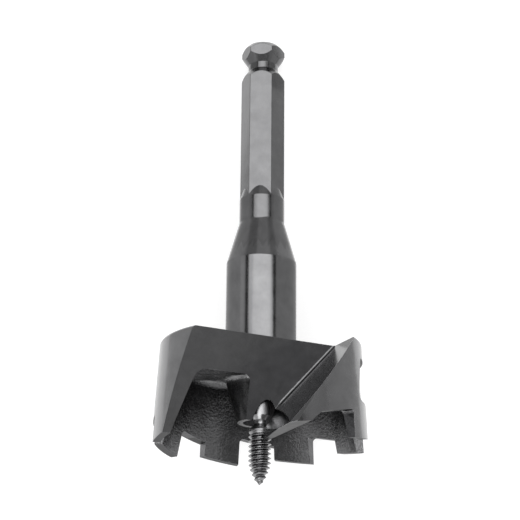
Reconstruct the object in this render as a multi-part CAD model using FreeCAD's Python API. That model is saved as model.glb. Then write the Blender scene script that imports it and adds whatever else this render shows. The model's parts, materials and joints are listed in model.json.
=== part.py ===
import FreeCAD, Part

import math
import os

# Self-feed drill bit for boring large holes in timber, about 59 mm across.
# A one-piece forged body carries a toothed cup head, a turned boss and neck,
# and a hexagonal quick-change shank. A replaceable feed screw sits in the
# head's centre bore, held by a grub screw that is set into the boss.
#
# Everything is drawn in the bit's own frame first: the axis is Z, the top of
# the head is Z = 0, the shank points to +Z and the teeth to -Z. Angles are
# counted from +X towards +Y. At the end one placement lays the bit on its
# side, as it comes to rest on a bench. Lengths are in millimetres.

os.makedirs("parts", exist_ok=True)

# Head, a cup with its open side down
head_top_radius = 28.1
cup_depth = 28.65
side_taper = 0.0557
top_edge_radius = 0.8
plate_thickness = 10.4
rear_plate_thickness = 5.5
ceiling_step_offset = 1.9
wall_at_plate = 5.3
wall_at_tips = 2.1
wall_fillet = 3.2

# Centre hub inside the cup
hub_length = 11.5
hub_tip_radius = 6.3
hub_flare = 0.29
hub_fillet = 2.4
counterbore_radius = 4.8
counterbore_top = -12.65
screw_bore_radius = 2.65
screw_bore_top = 13.0
drill_point = 0.6

# Front of the head: one flat cut and a sloping rake face make the chip gullet
gullet_offset = 10.69
gullet_azimuth = -62.0
gullet_lean = -19.9
gullet_corner_radius = 0.5
web_thickness = 8.5
web_edge_radius = 1.0
web_end_angle = -107.0

# Single lip, ahead of the axis, at the foot of the rake face. A hollow grind
# sharpens it and a small facet relieves its outer corner
lip_angle = -74.6
lip_setback = 1.35
lip_azimuth = 110.95
lip_rise = -1.09
rake_azimuth = -155.34
rake_slope = 40.06
rake_drop = 0.06
grind_radius = 116.0
grind_angle = 5.2
corner_relief_width = 0.7
corner_relief_azimuth = -98.6
corner_relief_rise = 22.2
ramp_thickness = 3.02
ramp_azimuth = -156.4
ramp_slope = 50.4
land_azimuth = -167.1
land_slope = 82.3

# Saw teeth round the rim
tooth_count = 8
first_tooth_angle = -77.0
land_share = 23.0 / 45.0
land_relief = 1.65
tooth_step = 3.6
gap_relief = 2.4
tooth_root_radius = 1.0
sector_overlap = 1.0
first_gap_lead = 2.0

# Plain pocket on the outer wall
pocket_depth = 1.2
pocket_top = 5.0
pocket_height = 12.5
pocket_start_angle = -17.0
pocket_end_angle = 38.0
pocket_side_lean = 17.0
pocket_corner_radius = 2.0

# Boss, neck and hexagonal shank
boss_radius = 10.0
boss_length = 24.0
boss_seat = 1.0
cone_length = 12.15
neck_radius = 6.475
neck_length = 7.15
runout_slope = 0.3115
hex_across_flats = 11.11
hex_corner_radius = 6.38
hex_face_angle = 83.5
shank_length = 92.13
end_flange_length = 6.03
groove_radius = 4.4
groove_width = 1.9
groove_slope = 0.68
flange_shoulder = 2.9
end_face_radius = 4.83
end_chamfer_slope = 1.1
runout_depth = 0.6

# Feed screw, one turned piece
screw_shank_radius = 2.6
screw_shank_end = 20.0
screw_waist_radius = 1.75
screw_chamfer = 0.95
screw_waist_end = 22.2
screw_collar_radius = 3.1
screw_collar_start = 23.9
screw_collar_step = 0.6
screw_crest_radius = 3.15
screw_ogive_share = 0.6
screw_ogive_place = 0.58
screw_taper_start = 32.2
screw_tip = 38.95
screw_top_gap = 0.8
screw_flat_depth = 0.5
screw_point_radius = 0.25

# Grub screw in the boss
grub_radius = 2.4
grub_clearance = 0.05
grub_height = 6.0
grub_angle = 128.5
grub_recess = 0.6
grub_socket_flats = 2.4
grub_socket_depth = 2.2
grub_chamfer = 0.4

# Direction from the axis that faces down at rest: the heavy side of the head,
# which is also a flat of the shank
rest_down_angle = hex_face_angle

REACH = 4.0 * shank_length
OVERRUN = 5.0
RIGHT_ANGLE = 90.0
ORIGIN = FreeCAD.Vector(0, 0, 0)
UP = FreeCAD.Vector(0, 0, 1)

tooth_pitch = 360.0 / tooth_count
land_angle = tooth_pitch * land_share


def polar(radius, angle, z=0.0):
    turn = math.radians(angle)
    return FreeCAD.Vector(radius * math.cos(turn), radius * math.sin(turn), z)


def direction(azimuth, rise):
    lift = math.radians(rise)
    flat = polar(math.cos(lift), azimuth)
    return flat + UP * math.sin(lift)


def outer_radius(z):
    return head_top_radius - side_taper * z


def inner_radius(z):
    at_plate = outer_radius(-plate_thickness) - wall_at_plate
    at_tips = outer_radius(-cup_depth) - wall_at_tips
    share = (-z - plate_thickness) / (cup_depth - plate_thickness)
    return at_plate + (at_tips - at_plate) * share


def half_space(point, normal):
    """Large box that fills the side of a plane towards which its normal points."""
    side = REACH
    box = Part.makeBox(side, side, side, FreeCAD.Vector(-side / 2, -side / 2, 0))
    turn = FreeCAD.Rotation(UP, normal)
    return box.transformed(FreeCAD.Placement(point, turn).toMatrix())


def rounded_outline(points):
    """Closed wire in the XZ plane through (r, z, corner radius) points."""
    count = len(points)
    starts = []
    ends = []
    middles = []
    for index in range(count):
        r, z, radius = points[index]
        corner = FreeCAD.Vector(r, 0, z)
        before = FreeCAD.Vector(points[index - 1][0], 0, points[index - 1][1]) - corner
        after_point = points[(index + 1) % count]
        after = FreeCAD.Vector(after_point[0], 0, after_point[1]) - corner
        before.normalize()
        after.normalize()
        half = before.getAngle(after) / 2
        reach = radius / math.tan(half)
        starts.append(corner + before * reach)
        ends.append(corner + after * reach)
        bisector = before + after
        if radius > 0:
            bisector.normalize()
            middles.append(corner + bisector * (radius / math.sin(half) - radius))
        else:
            middles.append(None)
    edges = []
    for index in range(count):
        if middles[index] is not None:
            edges.append(Part.Arc(starts[index], middles[index], ends[index]).toShape())
        following = (index + 1) % count
        edges.append(Part.LineSegment(ends[index], starts[following]).toShape())
    return Part.Wire(edges)


def turned(points):
    """Solid of revolution about the bit's axis."""
    return Part.Face(rounded_outline(points)).revolve(ORIGIN, UP, 360)


def wedge(start_angle, end_angle, low, high):
    """Sector between two radial planes, wide enough to pass the rim."""
    reach = 2.0 * head_top_radius
    corners = [ORIGIN, polar(reach, start_angle), polar(reach, (start_angle + end_angle) / 2),
               polar(reach, end_angle), ORIGIN]
    face = Part.Face(Part.makePolygon([corner + UP * low for corner in corners]))
    return face.extrude(UP * (high - low))


def edges_near_plane_pair(shape, first, second):
    """Edges whose middle lies on both planes, each given as (point, normal)."""
    found = []
    for edge in shape.Edges:
        middle = edge.valueAt((edge.FirstParameter + edge.LastParameter) / 2)
        on_first = abs((middle - first[0]).dot(first[1])) < 0.001
        on_second = abs((middle - second[0]).dot(second[1])) < 0.001
        if on_first and on_second:
            found.append(edge)
    return found


# The planes that shape the front of the head, each as (point, normal)
lip_z = -(cup_depth - lip_setback)
lip_corner = polar(outer_radius(lip_z), lip_angle, lip_z)
GULLET = (polar(gullet_offset, gullet_azimuth), direction(gullet_azimuth, gullet_lean))
RAKE_NORMAL = direction(rake_azimuth, rake_slope)
RAKE = (lip_corner - RAKE_NORMAL * rake_drop, RAKE_NORMAL)
LIP_EDGE = direction(lip_azimuth, lip_rise)
CORNER_RELIEF = (
    lip_corner + LIP_EDGE * corner_relief_width,
    direction(corner_relief_azimuth, corner_relief_rise))
RAMP_NORMAL = direction(ramp_azimuth, ramp_slope)
RAMP = (lip_corner - RAMP_NORMAL * ramp_thickness, RAMP_NORMAL)
LAND = (lip_corner, direction(land_azimuth, land_slope))
WEB_BACK = (GULLET[0] - GULLET[1] * web_thickness, GULLET[1])
CEILING_STEP = (polar(ceiling_step_offset, -RIGHT_ANGLE), polar(1.0, RIGHT_ANGLE))


def make_blank():
    """Outer form of the head, before the cup is hollowed out."""
    return turned([
        (0, 0, 0),
        (head_top_radius, 0, top_edge_radius),
        (outer_radius(-cup_depth), -cup_depth, 0),
        (0, -cup_depth, 0),
    ])


def make_ring(ceiling):
    """Space between the cup's wall and its hub, up to one ceiling height."""
    hub_bottom = -plate_thickness - hub_length
    floor = -cup_depth - OVERRUN
    return turned([
        (hub_tip_radius + hub_flare * (ceiling - hub_bottom), ceiling, hub_fillet),
        (inner_radius(ceiling), ceiling, wall_fillet),
        (inner_radius(floor), floor, 0),
        (0, floor, 0),
        (0, hub_bottom, 0),
        (hub_tip_radius, hub_bottom, 0),
    ])


def make_hollow():
    """The cup's space, deeper behind the axis, less the web and the ramp."""
    rear = make_ring(-rear_plate_thickness).common(half_space(*CEILING_STEP))
    ring = make_ring(-plate_thickness).fuse(rear)
    beyond_end = (ORIGIN, polar(1.0, web_end_angle + RIGHT_ANGLE))
    web = half_space(*WEB_BACK).common(half_space(*RAMP)).common(half_space(*beyond_end))
    core = Part.makeCylinder(head_top_radius, cup_depth, ORIGIN, -UP)
    web = web.common(core)
    edges = edges_near_plane_pair(web, WEB_BACK, RAMP)
    web = web.makeFillet(web_edge_radius, edges)
    return ring.cut(web)


def make_gullet():
    """Space in front of the flat cut and above the rake face."""
    block = half_space(*GULLET).common(half_space(*RAKE))
    edges = edges_near_plane_pair(block, GULLET, RAKE)
    return block.makeFillet(gullet_corner_radius, edges)


def make_grind():
    """Wheel that hollows the rake face, its rim along the lip."""
    across = (RAKE_NORMAL - LIP_EDGE * RAKE_NORMAL.dot(LIP_EDGE)).normalize()
    up_rake = LIP_EDGE.cross(across)
    turn = math.radians(grind_angle)
    towards_wheel = across * math.cos(turn) - up_rake * math.sin(turn)
    start = lip_corner + towards_wheel * grind_radius - LIP_EDGE * REACH / 2
    return Part.makeCylinder(grind_radius, REACH, start, LIP_EDGE)


def sharpen_lip(head):
    front = half_space(*GULLET)
    head = head.cut(make_grind().common(front))
    return head.cut(half_space(*CORNER_RELIEF).common(front))


def tilted_floor(middle_angle, low, high, span):
    """Plane that rises round the rim from low to high over an angular span."""
    radius = outer_radius(-cup_depth)
    run = 2.0 * radius * math.sin(math.radians(span / 2))
    slope = math.degrees(math.atan2(high - low, run))
    normal = direction(middle_angle + RIGHT_ANGLE, RIGHT_ANGLE + slope)
    return (UP * ((low + high) / 2), normal)


def make_land_cutter(leading):
    """Relief below the tooth's land, from its leading edge back to the step."""
    middle = leading + land_angle / 2
    tip = -cup_depth
    plane = tilted_floor(middle, tip, tip + land_relief, land_angle)
    sector = wedge(leading, leading + land_angle + sector_overlap, -cup_depth - OVERRUN, 0)
    return sector.common(half_space(plane[0], -plane[1]))


def gap_plane(leading):
    low = -cup_depth + land_relief + tooth_step
    middle = leading + (land_angle + tooth_pitch) / 2
    return tilted_floor(middle, low, low + gap_relief, tooth_pitch - land_angle)


def make_gap_cutter(leading, start):
    """Gap behind a land, up to the next tooth's radial leading face."""
    plane = gap_plane(leading)
    next_leading = leading + tooth_pitch
    sector = wedge(start, next_leading, -cup_depth - OVERRUN, 0)
    cutter = sector.common(half_space(plane[0], -plane[1]))
    radial = (ORIGIN, direction(next_leading + RIGHT_ANGLE, 0.0))
    edges = edges_near_plane_pair(cutter, plane, radial)
    return cutter.makeFillet(tooth_root_radius, edges)


def cut_teeth(head):
    for index in range(1, tooth_count):
        leading = first_tooth_angle + tooth_pitch * index
        head = head.cut(make_land_cutter(leading))
        head = head.cut(make_gap_cutter(leading, leading + land_angle))
    return head


def cut_lip(head):
    """The first tooth is the lip: its land runs in to the axis."""
    next_leading = first_tooth_angle + tooth_pitch
    sector = wedge(next_leading - RIGHT_ANGLE, next_leading, -cup_depth - OVERRUN, 0)
    head = head.cut(sector.common(half_space(LAND[0], -LAND[1])))
    gap = make_gap_cutter(first_tooth_angle, first_tooth_angle + first_gap_lead)
    return head.cut(gap.common(half_space(RAMP[0], -RAMP[1])))


def make_pocket():
    """Shallow pocket that follows the wall, with one slanted side."""
    middle = (pocket_start_angle + pocket_end_angle) / 2
    half_width = head_top_radius * math.sin(math.radians(pocket_end_angle - middle))
    bottom = -pocket_top - pocket_height
    lean = pocket_height * math.tan(math.radians(pocket_side_lean))
    corners = [
        FreeCAD.Vector(0, -half_width, -pocket_top),
        FreeCAD.Vector(0, -half_width - lean, bottom),
        FreeCAD.Vector(0, half_width, bottom),
        FreeCAD.Vector(0, half_width, -pocket_top),
    ]
    reach = 2.0 * head_top_radius
    face = Part.Face(Part.makePolygon(corners + [corners[0]]))
    block = face.extrude(FreeCAD.Vector(reach, 0, 0))
    sides = [edge for edge in block.Edges if edge.BoundBox.XLength > reach / 2]
    block = block.makeFillet(pocket_corner_radius, sides)
    block.rotate(ORIGIN, UP, middle)
    seat = turned([
        (0, 0, 0),
        (outer_radius(0) - pocket_depth, 0, 0),
        (outer_radius(-cup_depth) - pocket_depth, -cup_depth, 0),
        (0, -cup_depth, 0),
    ])
    return block.cut(seat)


def make_hex_bar(low, high):
    corner = hex_across_flats / math.sqrt(3)
    points = [polar(corner, hex_face_angle + 30 + 60 * side, low) for side in range(7)]
    return Part.Face(Part.makePolygon(points)).extrude(UP * (high - low))


def end_chamfer_start(radius):
    """Height at which the end chamfer has the given radius."""
    return shank_length - (radius - end_face_radius) * end_chamfer_slope


def make_shank():
    """Turned boss, cone and neck, then the hexagonal bar with its end groove."""
    cone_top = boss_length + cone_length
    neck_top = cone_top + neck_length
    flat = hex_across_flats / 2
    runout = (neck_radius - flat + runout_depth) / runout_slope
    turned_part = turned([
        (0, -boss_seat, 0),
        (boss_radius, -boss_seat, 0),
        (boss_radius, boss_length, 0.5),
        (neck_radius, cone_top, 2.0),
        (neck_radius, neck_top, 0),
        (flat - runout_depth, neck_top + runout, 0),
        (0, neck_top + runout, 0),
    ])
    groove_low = shank_length - end_flange_length - groove_width
    bar_end = groove_low - (hex_corner_radius - groove_radius) / groove_slope
    flange_low = shank_length - end_flange_length
    bar = turned([
        (0, neck_top, 0),
        (hex_corner_radius, neck_top, 0),
        (hex_corner_radius, bar_end, 0),
        (groove_radius, groove_low, 0),
        (groove_radius, flange_low, 0),
        (hex_corner_radius, flange_low + flange_shoulder, 0),
        (hex_corner_radius, end_chamfer_start(hex_corner_radius), 0),
        (end_face_radius, shank_length, 0),
        (0, shank_length, 0),
    ])
    bar = bar.common(make_hex_bar(neck_top, shank_length))
    return turned_part.fuse(bar)


def screw_axis_bores():
    """Counterbore and screw bore, drilled up from below along the axis."""
    tip_down = -cup_depth - OVERRUN
    counterbore = Part.makeCylinder(
        counterbore_radius, counterbore_top - tip_down, UP * tip_down, UP)
    bore = Part.makeCylinder(screw_bore_radius, screw_bore_top - tip_down, UP * tip_down, UP)
    point = Part.makeCone(screw_bore_radius, 0, screw_bore_radius * drill_point, UP * screw_bore_top, UP)
    return counterbore.fuse(bore).fuse(point)


def grub_hole():
    radius = grub_radius + grub_clearance
    start = UP * grub_height
    return Part.makeCylinder(radius, boss_radius * 1.5, start, polar(1, grub_angle))


def make_body():
    body = make_blank().fuse(make_shank())
    body = body.cut(make_hollow()).cut(make_gullet())
    body = cut_lip(cut_teeth(sharpen_lip(body)))
    body = body.cut(screw_axis_bores()).cut(grub_hole())
    body = body.cut(make_pocket())
    return body.removeSplitter()


def make_feed_screw():
    """Shank, waist, collar and a pointed screw, without its fine thread."""
    top = screw_bore_top - screw_top_gap
    taper = screw_tip - screw_taper_start
    screw = turned([
        (0, top, 0),
        (screw_shank_radius, top, 0),
        (screw_shank_radius, -screw_shank_end, 0),
        (screw_waist_radius, -screw_shank_end - screw_chamfer, 0),
        (screw_waist_radius, -screw_waist_end, 0),
        (screw_collar_radius, -screw_collar_start, 0),
        (screw_crest_radius, -screw_collar_start - screw_collar_step, 0),
        (screw_crest_radius, -screw_taper_start, 0),
        (screw_crest_radius * screw_ogive_share, -screw_taper_start - taper * screw_ogive_place, 0),
        (screw_point_radius, -screw_tip, 0),
        (0, -screw_tip, 0),
    ])
    seat = screw_shank_radius - screw_flat_depth
    flat_length = 4.0 * grub_radius
    flat = Part.makeBox(screw_shank_radius, 2 * screw_shank_radius, flat_length,
                        FreeCAD.Vector(seat, -screw_shank_radius, -flat_length / 2))
    flat.rotate(ORIGIN, UP, grub_angle)
    flat.translate(UP * grub_height)
    return screw.cut(flat)


def make_grub_screw():
    """Headless screw with a hexagonal socket, bearing on the feed screw's flat."""
    tip = screw_shank_radius - screw_flat_depth
    end = boss_radius - grub_recess
    body = Part.makeCylinder(grub_radius, end - tip)
    rims = [edge for edge in body.Edges if edge.BoundBox.ZLength < 0.001]
    body = body.makeChamfer(grub_chamfer, rims)
    corner = grub_socket_flats / math.sqrt(3)
    outline = [polar(corner, 60 * side, end - tip) for side in range(7)]
    socket = Part.Face(Part.makePolygon(outline)).extrude(-UP * grub_socket_depth)
    body = body.cut(socket)
    turn = FreeCAD.Rotation(UP, polar(1, grub_angle))
    place = FreeCAD.Placement(polar(tip, grub_angle, grub_height), turn)
    return body.transformed(place.toMatrix())


def resting_pose():
    """Turn that lays the bit down on the head's top edge and the shank's end."""
    end_support = hex_across_flats / 2
    contact_length = end_chamfer_start(end_support) + top_edge_radius
    tilt = math.atan2(head_top_radius - end_support, contact_length)
    up = polar(math.cos(tilt), rest_down_angle + 180.0) - UP * math.sin(tilt)
    along = UP * math.cos(tilt) + polar(math.sin(tilt), rest_down_angle + 180.0)
    across = up.cross(along)
    return FreeCAD.Matrix(
        along.x, along.y, along.z, 0,
        across.x, across.y, across.z, 0,
        up.x, up.y, up.z, 0,
        0, 0, 0, 1)


def laid_down(shapes):
    """All pieces at rest, with the origin at the middle of the base of their box."""
    turn = resting_pose()
    placed = [shape.transformed(turn) for shape in shapes]
    box = Part.makeCompound(placed).optimalBoundingBox(False, False)
    shift = FreeCAD.Vector(
        -(box.XMin + box.XMax) / 2, -(box.YMin + box.YMax) / 2, -box.ZMin)
    for shape in placed:
        shape.translate(shift)
    return placed


def main():
    nodes = {
        "bit_body": make_body(),
        "feed_screw": make_feed_screw(),
        "grub_screw": make_grub_screw(),
    }
    for name, shape in zip(nodes, laid_down(nodes.values())):
        shape.Solids[0].exportStep("parts/" + name + ".step")


main()
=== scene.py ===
import json
import math

import bmesh
import bpy
from mathutils import Matrix, Vector


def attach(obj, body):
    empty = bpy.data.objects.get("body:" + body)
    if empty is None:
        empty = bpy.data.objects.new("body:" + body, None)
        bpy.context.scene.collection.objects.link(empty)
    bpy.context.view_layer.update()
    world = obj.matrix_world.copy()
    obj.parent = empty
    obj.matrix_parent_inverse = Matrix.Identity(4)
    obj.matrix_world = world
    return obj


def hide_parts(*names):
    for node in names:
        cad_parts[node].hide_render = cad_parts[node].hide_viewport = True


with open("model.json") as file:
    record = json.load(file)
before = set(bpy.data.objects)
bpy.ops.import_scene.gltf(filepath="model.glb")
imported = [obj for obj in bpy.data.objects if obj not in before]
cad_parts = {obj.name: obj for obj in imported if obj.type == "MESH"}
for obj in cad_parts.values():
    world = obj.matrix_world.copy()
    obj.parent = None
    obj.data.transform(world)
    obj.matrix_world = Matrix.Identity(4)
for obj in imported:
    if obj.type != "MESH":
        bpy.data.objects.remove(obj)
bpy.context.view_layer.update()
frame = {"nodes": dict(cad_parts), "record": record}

# A self-feed drill bit that lies on its side on a pale table, seen from above.
# The bit's own frame has its axis along Z, the head's top at Z = 0 and the
# shank towards +Z. Sizes in that frame are in millimetres, and a direction
# there is (azimuth, rise) in degrees.
MM = 0.001
SHANK_LENGTH = 92.13
REST_DOWN_ANGLE = 83.5

# Head and boss
HEAD_TOP_RADIUS = 28.1
HEAD_TOP_EDGE = 0.4
SIDE_TAPER = 0.0557
WALL_DEPTH = 1.6
CUP_DEPTH = 28.65
LAND_START = 0.78 * CUP_DEPTH
BOSS_TOP = 28.0
BORE_RADIUS = 5.0
HUB_RADIUS = 10.0
HUB_TOP = -11.0

# Directions that the head's ground and cast faces look in, and how far, in
# degrees, a face of that kind may lean from them
GULLET_FACING = (-62.0, -19.9)
GULLET_LEAN = 3.0
RAKE_FACING = (-155.34, 40.06)
RAKE_LEAN = 12.0
RELIEF_FACING = (-98.6, 22.2)
RELIEF_LEAN = 2.0

# Cosines that sort the other faces: SIDEWAYS between a wall's normal and the
# radius, LAND_DOWN between a land's normal and -Z, and the most that a face of
# the gullet's rounded corner has with the corner's line and with its flat side
SIDEWAYS = 0.8
LAND_DOWN = 0.9
CORNER_ALONG = 0.03
CORNER_SIDE = 0.97

# Feed screw: turned outline as (radius, height) down to the thread, and the
# flat on its shank, by the way it faces and its distance from the axis
SCREW_TOP = 12.2
SCREW_RADIUS = 2.6
SHANK_END = -19.85
COLLAR_RADIUS = 3.12
THREAD_TOP = -24.3
SCREW_OUTLINE = [
    (0.0, SCREW_TOP), (SCREW_RADIUS - 0.2, SCREW_TOP), (SCREW_RADIUS, SCREW_TOP - 0.2),
    (SCREW_RADIUS, SHANK_END), (SCREW_RADIUS - 0.1, SHANK_END - 0.15),
    (1.78, -20.98), (1.72, -21.1), (1.72, -22.2), (1.82, -22.35), (3.0, -23.75),
    (COLLAR_RADIUS, -23.95), (COLLAR_RADIUS, THREAD_TOP),
]
FLAT_ANGLE = -73.5
FLAT_REACH = 1.95

# Its thread: crest line as (height, radius), depth as a share of the radius,
# and the shares of the pitch that the flat crest and the flat root take
THREAD_TIP = -38.95
THREAD_PITCH = 1.31
THREAD_PHASE = -27.725
THREAD_CREST = [
    (THREAD_TOP, COLLAR_RADIUS), (-32.6, 3.17), (-33.8, 3.0), (-34.9, 2.7),
    (-36.2, 2.15), (-37.5, 1.5), (-38.3, 0.85), (THREAD_TIP, 0.0),
]
THREAD_DEPTH = 0.27
CREST_SHARE = 0.06
ROOT_SHARE = 0.22

# Its mesh: sides round it, rows to a turn of the helix, and the turns made
# below and above THREAD_PHASE, which reach past both ends of the thread
SIDES = 72
ROWS_PER_TURN = 18
TURNS_BELOW = 10
TURNS_ABOVE = 4
MERGE_DISTANCE = 0.002
SHARP_ANGLE = 30.0

# Camera, as fitted to the photograph: a long lens that looks at the bit from
# the front and a little below its head
CAMERA_PLACE = Vector((-0.43, -388.32, -103.2))
CAMERA_RISE = math.radians(18.331)
CAMERA_ROLL = -0.0092
LENS = 99.19
SENSOR = 36.0

# Studio: the front softbox stands before the bit, in the plane Y = -FRONT, with
# a dimmer core just ahead of it and a lamp below the head
FRONT = 900.0
BOX_LEFT = -790.0
BOX_RIGHT = 710.0
BOX_BOTTOM = 20.0
BOX_TOP = 640.0
BOX_RADIANCE = 1.34
CORE_LEFT = -410.0
CORE_RIGHT = 490.0
CORE_AHEAD = 10.0
CORE_RADIANCE = 0.6
CARD_GAP = 3.0
LOW_LAMP_PLACE = (0, -250, -700)
LOW_LAMP_AIM = (0, 0, -20)
LOW_LAMP_SIZE = 600.0
LOW_LAMP_RADIANCE = 2.2

# Cards close beside the shank
NEAR_LEFT = -23.0
NEAR_RIGHT = 20.0
NEAR_FRONT = -14.0
NEAR_BACK = 40.0
HEXAGON_TOP = 85.0

# Room and floor
ROOM_LIGHT = 0.56
FLOOR_REACH = 4.0
FLOOR_SHADE = 0.5
FLOOR_GLOW = 0.7
WHITE = (1.0, 1.0, 1.0, 1.0)
BLACK = (0.0, 0.0, 0.0, 1.0)

# Materials: the stretch of noise coordinates, the range that holds most of a
# noise's values, and the cosines between rounded and true normal where the
# lightening of an edge starts and where it is full. That lightening is wear,
# and on the rake finish also a painted highlight
EVEN = (1.0, 1.0, 1.0)
RINGS = (0.1, 0.1, 1.0)
NOISE_LOW = 0.3
NOISE_HIGH = 0.7
EDGE_START = 0.98
EDGE_FULL = 0.8
EDGE_SAMPLES = 6
BLUE_TINGE = 1.02


def bit_to_world():
    """Matrix from the bit's own frame, in millimetres, to the row frame, in metres."""
    mount = frame["record"]["mounts"][0]
    end = Vector(mount["pos_m"])
    axis = Vector(mount["axis"]).normalized()
    sin_tilt = -axis.z
    cos_tilt = axis.x
    turn = math.radians(REST_DOWN_ANGLE + 180.0)
    dx = math.cos(turn)
    dy = math.sin(turn)
    rows = Matrix((
        (sin_tilt * dx, sin_tilt * dy, cos_tilt),
        (dy, -dx, 0.0),
        (cos_tilt * dx, cos_tilt * dy, -sin_tilt),
    ))
    place = Matrix.Translation(end - axis * SHANK_LENGTH * MM)
    return place @ (rows * MM).to_4x4()


BIT = bit_to_world()
BIT_TURN = (BIT.to_3x3() * (1 / MM)).to_4x4()
TO_BIT = BIT.inverted()


def make_camera():
    data = bpy.data.cameras.new("camera")
    data.lens = LENS
    data.sensor_width = SENSOR
    data.clip_start = 0.01
    data.clip_end = 10.0
    camera = bpy.data.objects.new("camera", data)
    bpy.context.scene.collection.objects.link(camera)
    right = Vector((1.0, 0.0, 0.0))
    up = Vector((0.0, -math.sin(CAMERA_RISE), math.cos(CAMERA_RISE)))
    back = Vector((0.0, -math.cos(CAMERA_RISE), -math.sin(CAMERA_RISE)))
    rolled_right = right * math.cos(CAMERA_ROLL) - up * math.sin(CAMERA_ROLL)
    rolled_up = right * math.sin(CAMERA_ROLL) + up * math.cos(CAMERA_ROLL)
    turn = Matrix((rolled_right, rolled_up, back)).transposed().to_4x4()
    camera.matrix_world = Matrix.Translation(BIT @ CAMERA_PLACE) @ BIT_TURN @ turn
    bpy.context.scene.camera = camera


# Small helpers for node trees

def new_material(name):
    material = bpy.data.materials.new(name)
    material.use_nodes = True
    tree = material.node_tree
    shader = tree.nodes["Principled BSDF"]
    return material, tree, shader


def bit_coordinates(tree):
    """Coordinates in the bit's frame, in millimetres, with its axis along Z."""
    source = tree.nodes.new("ShaderNodeTexCoord").outputs["Object"]
    node = tree.nodes.new("ShaderNodeMapping")
    place, turn, scale = TO_BIT.decompose()
    node.inputs["Location"].default_value = place
    node.inputs["Rotation"].default_value = turn.to_euler()
    node.inputs["Scale"].default_value = scale
    tree.links.new(source, node.inputs["Vector"])
    return node.outputs["Vector"]


def stretched(tree, vector, scale):
    node = tree.nodes.new("ShaderNodeMapping")
    node.inputs["Scale"].default_value = scale
    tree.links.new(vector, node.inputs["Vector"])
    return node.outputs["Vector"]


def noise(tree, vector, scale, detail, roughness=0.5):
    node = tree.nodes.new("ShaderNodeTexNoise")
    node.inputs["Scale"].default_value = scale
    node.inputs["Detail"].default_value = detail
    node.inputs["Roughness"].default_value = roughness
    tree.links.new(vector, node.inputs["Vector"])
    return node.outputs["Fac"]


def spread(tree, value, low_in, high_in, low_out, high_out):
    """Value mapped from one range to another, and kept inside the second."""
    node = tree.nodes.new("ShaderNodeMapRange")
    node.inputs["From Min"].default_value = low_in
    node.inputs["From Max"].default_value = high_in
    node.inputs["To Min"].default_value = low_out
    node.inputs["To Max"].default_value = high_out
    tree.links.new(value, node.inputs["Value"])
    return node.outputs["Result"]


def spread_noise(tree, value, low, high):
    return spread(tree, value, NOISE_LOW, NOISE_HIGH, low, high)


def combine(tree, operation, first, second):
    """Sum, product or the like of two values, each a number or an output."""
    node = tree.nodes.new("ShaderNodeMath")
    node.operation = operation
    for index, value in enumerate((first, second)):
        if isinstance(value, float):
            node.inputs[index].default_value = value
        else:
            tree.links.new(value, node.inputs[index])
    return node.outputs["Value"]


def tint(tree, value, dark, light, worn_and_glint):
    """Grey of bluish steel: dark at 0, light at a half and the edge grey at 1, which is wear,
    and on the rake finish also a painted highlight.
    """
    ramp = tree.nodes.new("ShaderNodeValToRGB")
    ramp.color_ramp.elements.new(0.5)
    for element, grey in zip(ramp.color_ramp.elements, (dark, light, worn_and_glint)):
        element.color = (grey, grey, grey * BLUE_TINGE, 1.0)
    tree.links.new(value, ramp.inputs["Fac"])
    return ramp.outputs["Color"]


def bump(tree, height, strength, distance, normal):
    node = tree.nodes.new("ShaderNodeBump")
    node.inputs["Strength"].default_value = strength
    node.inputs["Distance"].default_value = distance
    tree.links.new(height, node.inputs["Height"])
    tree.links.new(normal, node.inputs["Normal"])
    return node.outputs["Normal"]


def rounded_normal(tree, radius):
    node = tree.nodes.new("ShaderNodeBevel")
    node.samples = EDGE_SAMPLES
    node.inputs["Radius"].default_value = radius * MM
    return node.outputs["Normal"]


def worn_and_glinting_edges(tree, soft_normal):
    """1 along edges, and 0 on faces, where the rounded normal is the true one."""
    true_normal = tree.nodes.new("ShaderNodeNewGeometry").outputs["Normal"]
    product = tree.nodes.new("ShaderNodeVectorMath")
    product.operation = "DOT_PRODUCT"
    tree.links.new(soft_normal, product.inputs[0])
    tree.links.new(true_normal, product.inputs[1])
    return spread(tree, product.outputs["Value"], EDGE_START, EDGE_FULL, 0.0, 1.0)


def steel(name, shades, wear_and_glint, gloss, patch_scale, edge_radius, relief, mottle=0.0, grazing=1.0):
    """Metal with patches of colour and gloss, lighter edges and layers of fine relief. The edges
    show wear, and on the rake finish also a painted highlight.

    shades are (dark, light, edge grey) and gloss is (low, high) roughness. relief lists
    (scale, stretch, strength, depth in mm). mottle is how far the relief's high spots are
    lighter than its low ones, and grazing how bright the metal turns when seen at a low angle.
    """
    material, tree, shader = new_material(name)
    where = bit_coordinates(tree)
    patches = noise(tree, where, patch_scale, detail=4.0, roughness=0.6)
    soft = rounded_normal(tree, edge_radius)
    edge_wear_and_glint = combine(tree, "MULTIPLY", worn_and_glinting_edges(tree, soft), wear_and_glint)
    shade = combine(tree, "ADD", spread_noise(tree, patches, 0.0, 0.5), edge_wear_and_glint)
    shader.inputs["Metallic"].default_value = 1.0
    shader.inputs["Specular Tint"].default_value = (grazing, grazing, grazing, 1.0)
    tree.links.new(spread_noise(tree, patches, *gloss), shader.inputs["Roughness"])
    normal = soft
    for scale, stretch, strength, depth in relief:
        fine = noise(tree, stretched(tree, where, stretch), scale, detail=2.0)
        shade = combine(tree, "ADD", shade, spread_noise(tree, fine, -mottle, mottle))
        normal = bump(tree, fine, strength, depth * MM, normal)
    tree.links.new(tint(tree, shade, *shades), shader.inputs["Base Color"])
    tree.links.new(normal, shader.inputs["Normal"])
    return material


# Bit body and grub screw

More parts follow.
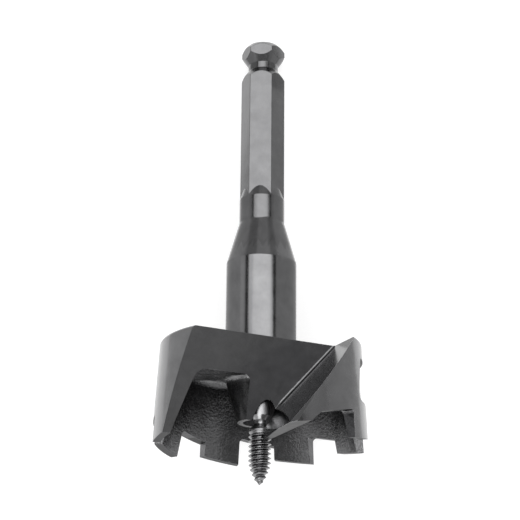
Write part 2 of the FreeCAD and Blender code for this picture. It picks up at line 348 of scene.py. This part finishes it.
def make_finishes():
    """One finish for each way a surface of the bit was made."""
    return {
        "turned": steel("turned_oxide", shades=(0.165, 0.205, 0.3), wear_and_glint=0.3,
                        gloss=(0.13, 0.18), patch_scale=0.25, edge_radius=0.12,
                        relief=[(14.0, RINGS, 0.03, 0.02)]),
        "hex": steel("hex_oxide", shades=(0.135, 0.17, 0.3), wear_and_glint=0.0,
                     gloss=(0.16, 0.22), patch_scale=0.25, edge_radius=0.2,
                     relief=[(14.0, RINGS, 0.015, 0.02)]),
        "wall": steel("wall_oxide", shades=(0.16, 0.20, 0.35), wear_and_glint=0.3,
                      gloss=(0.16, 0.22), patch_scale=0.2, edge_radius=0.12,
                      relief=[(10.0, RINGS, 0.04, 0.02)]),
        "cast": steel("cast_oxide", shades=(0.14, 0.2, 0.3), wear_and_glint=0.3,
                      gloss=(0.2, 0.28), patch_scale=0.3, edge_radius=0.2,
                      relief=[(1.6, EVEN, 0.6, 0.18), (4.0, EVEN, 0.3, 0.04)],
                      mottle=0.14, grazing=0.5),
        # Darker finish for the hub's side deep in the cup: painted shade
        "scale": steel("hub_painted_shade_oxide", shades=(0.05, 0.08, 0.2), wear_and_glint=0.3,
                       gloss=(0.24, 0.32), patch_scale=0.4, edge_radius=0.2,
                       relief=[(1.8, EVEN, 0.4, 0.1)],
                       mottle=0.2, grazing=0.5),
        "web": steel("web_oxide", shades=(0.13, 0.175, 0.3), wear_and_glint=0.3,
                     gloss=(0.16, 0.22), patch_scale=0.3, edge_radius=0.2,
                     relief=[(1.8, EVEN, 0.2, 0.05), (4.0, EVEN, 0.1, 0.02)],
                     mottle=0.04, grazing=0.5),
        # Rake: its bright edge grey and strong edge lightening are wear of the ground lips, and
        # also a painted highlight along them and along the gullet's rounded corner
        "rake": steel("rake_oxide", shades=(0.115, 0.155, 0.7), wear_and_glint=0.8,
                      gloss=(0.14, 0.2), patch_scale=0.5, edge_radius=0.14,
                      relief=[]),
        "land": steel("land_oxide", shades=(0.06, 0.08, 0.3), wear_and_glint=0.3,
                      gloss=(0.3, 0.4), patch_scale=0.5, edge_radius=0.06,
                      relief=[(9.0, EVEN, 0.2, 0.02)],
                      mottle=0.2, grazing=0.65),
        "bore": steel("bore_steel", shades=(0.2, 0.27, 0.5), wear_and_glint=0.3,
                      gloss=(0.5, 0.6), patch_scale=0.5, edge_radius=0.1,
                      relief=[(12.0, RINGS, 0.1, 0.02)]),
    }


def direction(azimuth, rise):
    """Unit vector of a direction in the bit's frame."""
    turn = math.radians(azimuth)
    lift = math.radians(rise)
    return Vector((
        math.cos(lift) * math.cos(turn),
        math.cos(lift) * math.sin(turn),
        math.sin(lift),
    ))


def faces_along(normal, way, lean):
    """True for a face that leans from this direction by less than lean degrees."""
    return normal.dot(direction(*way)) > math.cos(math.radians(lean))


def in_gullet_corner(normal):
    """True for the rounding between the gullet's flat side and the rake face."""
    side = direction(*GULLET_FACING)
    along = side.cross(direction(*RAKE_FACING)).normalized()
    return abs(normal.dot(along)) < CORNER_ALONG and normal.dot(side) < CORNER_SIDE


def surface_kind(centre, normal):
    """How the face at this place of the body was made, from the bit's frame."""
    if centre.z > BOSS_TOP:
        return "hex"
    if centre.z > -HEAD_TOP_EDGE:
        return "turned"
    radius = math.hypot(centre.x, centre.y)
    outward = normal.dot(Vector((centre.x, centre.y, 0.0)).normalized())
    if radius < BORE_RADIUS and outward < -SIDEWAYS:
        return "bore"
    if faces_along(normal, GULLET_FACING, GULLET_LEAN):
        return "web"
    # The hub's side deep in the cup gets the darker finish, a painted shade
    if radius < HUB_RADIUS and centre.z < HUB_TOP and outward > SIDEWAYS:
        return "scale"
    # The gullet's rounded corner takes the rake finish, whose bright edge grey paints a
    # highlight along it
    if faces_along(normal, RELIEF_FACING, RELIEF_LEAN) or in_gullet_corner(normal):
        return "rake"
    wall_radius = HEAD_TOP_RADIUS - SIDE_TAPER * centre.z
    if radius > wall_radius - WALL_DEPTH and outward > SIDEWAYS:
        return "wall"
    if faces_along(normal, RAKE_FACING, RAKE_LEAN):
        return "rake"
    if centre.z < -LAND_START and normal.z < -LAND_DOWN:
        return "land"
    return "cast"


def dress_body():
    """Give each face of the body the finish of its kind."""
    mesh = frame["nodes"]["bit_body"].data
    finishes = make_finishes()
    kinds = list(finishes)
    mesh.materials.clear()
    for finish in finishes.values():
        mesh.materials.append(finish)
    turn = BIT_TURN.to_3x3().transposed()
    for face in mesh.polygons:
        kind = surface_kind(TO_BIT @ face.center, turn @ face.normal)
        face.material_index = kinds.index(kind)


def dress_grub_screw():
    mesh = frame["nodes"]["grub_screw"].data
    mesh.materials.clear()
    mesh.materials.append(steel("grub_oxide", shades=(0.12, 0.17, 0.3), wear_and_glint=0.3,
                                gloss=(0.28, 0.36), patch_scale=0.5, edge_radius=0.08,
                                relief=[(9.0, EVEN, 0.1, 0.02)]))


# Feed screw

def outline_at(points, z):
    """Radius at a height, along (height, radius) points in falling order."""
    for (z0, r0), (z1, r1) in zip(points, points[1:]):
        if z >= z1:
            share = min(max((z0 - z) / (z0 - z1), 0.0), 1.0)
            return r0 + (r1 - r0) * share
    return points[-1][1]


def round_point(radius, turn, z):
    """Point at a radius and height, after this share of a full turn."""
    angle = 2 * math.pi * turn
    return Vector((radius * math.cos(angle), radius * math.sin(angle), z))


def quad(here, beside):
    """Face between two neighbours of one row and the two points below them."""
    return here, here + SIDES, beside + SIDES, beside


def groove_depth(phase):
    """Depth of the thread's groove: 0 on the crest, 1 at the root."""
    away = abs(phase - round(phase)) * 2
    return min(max((away - CREST_SHARE) / (1 - CREST_SHARE - ROOT_SHARE), 0.0), 1.0)


def thread_point(row, side):
    """Rows follow the helix, so the crest is a line of the mesh."""
    turn = side / SIDES
    z = THREAD_PHASE + (turn - row / ROWS_PER_TURN) * THREAD_PITCH
    z = min(max(z, THREAD_TIP), THREAD_TOP)
    fade = min((THREAD_TOP - z) / THREAD_PITCH, 1.0)
    depth = THREAD_DEPTH * fade * groove_depth(row / ROWS_PER_TURN)
    return round_point(outline_at(THREAD_CREST, z) * (1 - depth), turn, z)


def thread_mesh():
    """Points and faces of the thread, where a row's end joins the row one turn above."""
    rows = range(-TURNS_ABOVE * ROWS_PER_TURN, TURNS_BELOW * ROWS_PER_TURN)
    points = [thread_point(row, side) for row in rows for side in range(SIDES)]
    faces = []
    for row in range(len(rows) - 1):
        for side in range(SIDES):
            here = row * SIDES + side
            beside = here + 1
            if side + 1 == SIDES:
                beside = (row - ROWS_PER_TURN) * SIDES
            if beside >= 0:
                faces.append(quad(here, beside))
    return points, faces


def on_flat(point):
    """Point of the shank, moved in to the flat along its front."""
    facing = direction(FLAT_ANGLE, 0.0)
    over = max(point.dot(facing) - FLAT_REACH, 0.0)
    return point - facing * over if point.z >= SHANK_END else point


def turned_mesh(outline):
    """Points and faces of a turned outline, with the flat on its shank."""
    points = [
        on_flat(round_point(radius, side / SIDES, z))
        for radius, z in outline for side in range(SIDES)
    ]
    faces = []
    for start in range(0, (len(outline) - 1) * SIDES, SIDES):
        for side in range(SIDES):
            faces.append(quad(start + side, start + (side + 1) % SIDES))
    return points, faces


def screw_mesh():
    """Shank and thread as one mesh, in the row frame, with doubled points merged."""
    form = bmesh.new()
    for points, faces in (turned_mesh(SCREW_OUTLINE), thread_mesh()):
        corners = [form.verts.new(BIT @ point) for point in points]
        for face in faces:
            form.faces.new([corners[index] for index in face])
    bmesh.ops.remove_doubles(form, verts=form.verts, dist=MERGE_DISTANCE * MM)
    mesh = bpy.data.meshes.new("feed_screw_thread")
    form.to_mesh(mesh)
    form.free()
    mesh.shade_smooth()
    mesh.set_sharp_from_angle(angle=math.radians(SHARP_ANGLE))
    return mesh


def make_feed_screw():
    """Screw with its real thread, brighter on the shank than on the thread."""
    mesh = screw_mesh()
    mesh.materials.append(steel("screw_shank", shades=(0.36, 0.44, 0.6), wear_and_glint=0.3,
                                gloss=(0.28, 0.34), patch_scale=0.8, edge_radius=0.04,
                                relief=[(6.0, EVEN, 0.1, 0.02)]))
    mesh.materials.append(steel("screw_thread", shades=(0.19, 0.25, 0.5), wear_and_glint=0.4,
                                gloss=(0.2, 0.28), patch_scale=0.8, edge_radius=0.04,
                                relief=[(6.0, EVEN, 0.1, 0.02)]))
    for face in mesh.polygons:
        face.material_index = int((TO_BIT @ face.center).z < THREAD_TOP)
    screw = bpy.data.objects.new("feed_screw_thread", mesh)
    bpy.context.scene.collection.objects.link(screw)
    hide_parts("feed_screw")
    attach(screw, "root")


# Stage

def make_sheet(name, corners):
    """Flat sheet of the stage, given by its corners in the row frame."""
    mesh = bpy.data.meshes.new(name)
    mesh.from_pydata(corners, [], [(0, 1, 2, 3)])
    sheet = bpy.data.objects.new(name, mesh)
    bpy.context.scene.collection.objects.link(sheet)
    material, tree, shader = new_material(name)
    mesh.materials.append(material)
    return sheet, tree, shader


def make_floor():
    """Grey floor that camera and reflections see as near white, with the bit's shadow."""
    near, far = -FLOOR_REACH, FLOOR_REACH
    corners = [(near, near, 0), (far, near, 0), (far, far, 0), (near, far, 0)]
    _, tree, shader = make_sheet("floor", corners)
    shader.inputs["Base Color"].default_value = (FLOOR_SHADE, FLOOR_SHADE, FLOOR_SHADE, 1.0)
    shader.inputs["Roughness"].default_value = 0.9
    path = tree.nodes.new("ShaderNodeLightPath")
    seen = combine(tree, "MAXIMUM", path.outputs["Is Camera Ray"], path.outputs["Is Glossy Ray"])
    seen = combine(tree, "MAXIMUM", seen, path.outputs["Is Transmission Ray"])
    glow = tree.nodes.new("ShaderNodeEmission")
    glow.inputs["Color"].default_value = WHITE
    tree.links.new(combine(tree, "MULTIPLY", seen, FLOOR_GLOW), glow.inputs["Strength"])
    both = tree.nodes.new("ShaderNodeAddShader")
    tree.links.new(shader.outputs["BSDF"], both.inputs[0])
    tree.links.new(glow.outputs["Emission"], both.inputs[1])
    out = tree.nodes["Material Output"]
    tree.links.new(both.outputs["Shader"], out.inputs["Surface"])


def make_world():
    world = bpy.data.worlds.new("world")
    bpy.context.scene.world = world
    world.use_nodes = True
    background = world.node_tree.nodes["Background"]
    background.inputs["Color"].default_value = WHITE
    background.inputs["Strength"].default_value = ROOM_LIGHT


def make_lamp(name, place, target, width, height, radiance):
    """Soft lamp, placed in the bit's frame and aimed at a point there."""
    data = bpy.data.lights.new(name, "AREA")
    data.shape = "RECTANGLE"
    data.size = width * MM
    data.size_y = height * MM
    data.energy = radiance * math.pi * data.size * data.size_y
    lamp = bpy.data.objects.new(name, data)
    bpy.context.scene.collection.objects.link(lamp)
    start = BIT @ Vector(place)
    aim = (BIT @ Vector(target)) - start
    turn = aim.to_track_quat("-Z", "Y").to_matrix().to_4x4()
    lamp.matrix_world = Matrix.Translation(start) @ turn


def make_front_lamp(name, left, right, ahead, radiance):
    """Lamp as high as the front softbox, this far ahead of its plane, that shines along Y."""
    x = (left + right) / 2
    z = (BOX_BOTTOM + BOX_TOP) / 2
    place = (x, ahead - FRONT, z)
    make_lamp(name, place, (x, 0, z), right - left, BOX_TOP - BOX_BOTTOM, radiance)


def make_card(name, first, second, bottom, top, shade):
    """Upright studio card between two (x, y) places, which only reflections show."""
    corners = [(*first, bottom), (*second, bottom), (*second, top), (*first, top)]
    card, _, shader = make_sheet(name, [BIT @ Vector(corner) for corner in corners])
    shader.inputs["Base Color"].default_value = BLACK
    shader.inputs["Specular IOR Level"].default_value = 0.0
    shader.inputs["Emission Color"].default_value = WHITE
    shader.inputs["Emission Strength"].default_value = shade
    card.visible_camera = False
    card.visible_diffuse = False
    card.visible_transmission = False
    card.visible_volume_scatter = False
    card.visible_shadow = False


def make_front_card(name, left, right, bottom, top, shade):
    """Card in the plane of the front softbox."""
    make_card(name, (left, -FRONT), (right, -FRONT), bottom, top, shade)


def make_near_cards(name, bottom, top, left_shade, right_shade):
    """One card close to each side of the bit."""
    for side, x, shade in (("left", NEAR_LEFT, left_shade), ("right", NEAR_RIGHT, right_shade)):
        make_card(f"{name}_{side}", (x, NEAR_FRONT), (x, NEAR_BACK), bottom, top, shade)


def make_lamps():
    make_front_lamp("front_box", BOX_LEFT, BOX_RIGHT, 0.0, BOX_RADIANCE)
    make_front_lamp("front_core", CORE_LEFT, CORE_RIGHT, CORE_AHEAD, CORE_RADIANCE)
    make_lamp("low_box", LOW_LAMP_PLACE, LOW_LAMP_AIM, LOW_LAMP_SIZE, LOW_LAMP_SIZE,
              LOW_LAMP_RADIANCE)


def make_cards():
    """Greys that the steel mirrors: round the softbox, then beside shank and head."""
    left = BOX_LEFT - CARD_GAP
    right = BOX_RIGHT + CARD_GAP
    make_front_card("dark_left", -1180, left, -700, 900, 0.06)
    make_front_card("dark_right", right, 1000, -700, 900, 0.06)
    make_front_card("dark_low", left, right, -900, 10, 0.25)
    make_front_card("web_left", 1000, 1340, -900, -300, 0.62)
    make_front_card("web_right", 1340, 1900, -900, -300, 0.26)
    make_front_card("high_left", -1900, -350, 1000, 2300, 0.38)
    make_front_card("high_mid", -350, 650, 1000, 2300, 0.62)
    make_front_card("high_right", 650, 1900, 1000, 2300, 0.38)
    make_near_cards("boss", 3, BOSS_TOP, 0.66, 0.56)
    make_near_cards("shank", BOSS_TOP, HEXAGON_TOP, 0.7, 0.7)
    make_near_cards("flange", HEXAGON_TOP, 115, 0.45, 0.45)
    make_card("head_left", (-80, -60), (-80, 30), -80, 60, 0.85)
    make_card("head_right", (60, -30), (60, 60), -80, 40, 0.66)


make_camera()
make_floor()
make_world()
make_lamps()
make_cards()
dress_body()
make_feed_screw()
dress_grub_screw()

view = bpy.context.scene.view_settings
view.view_transform = "Standard"
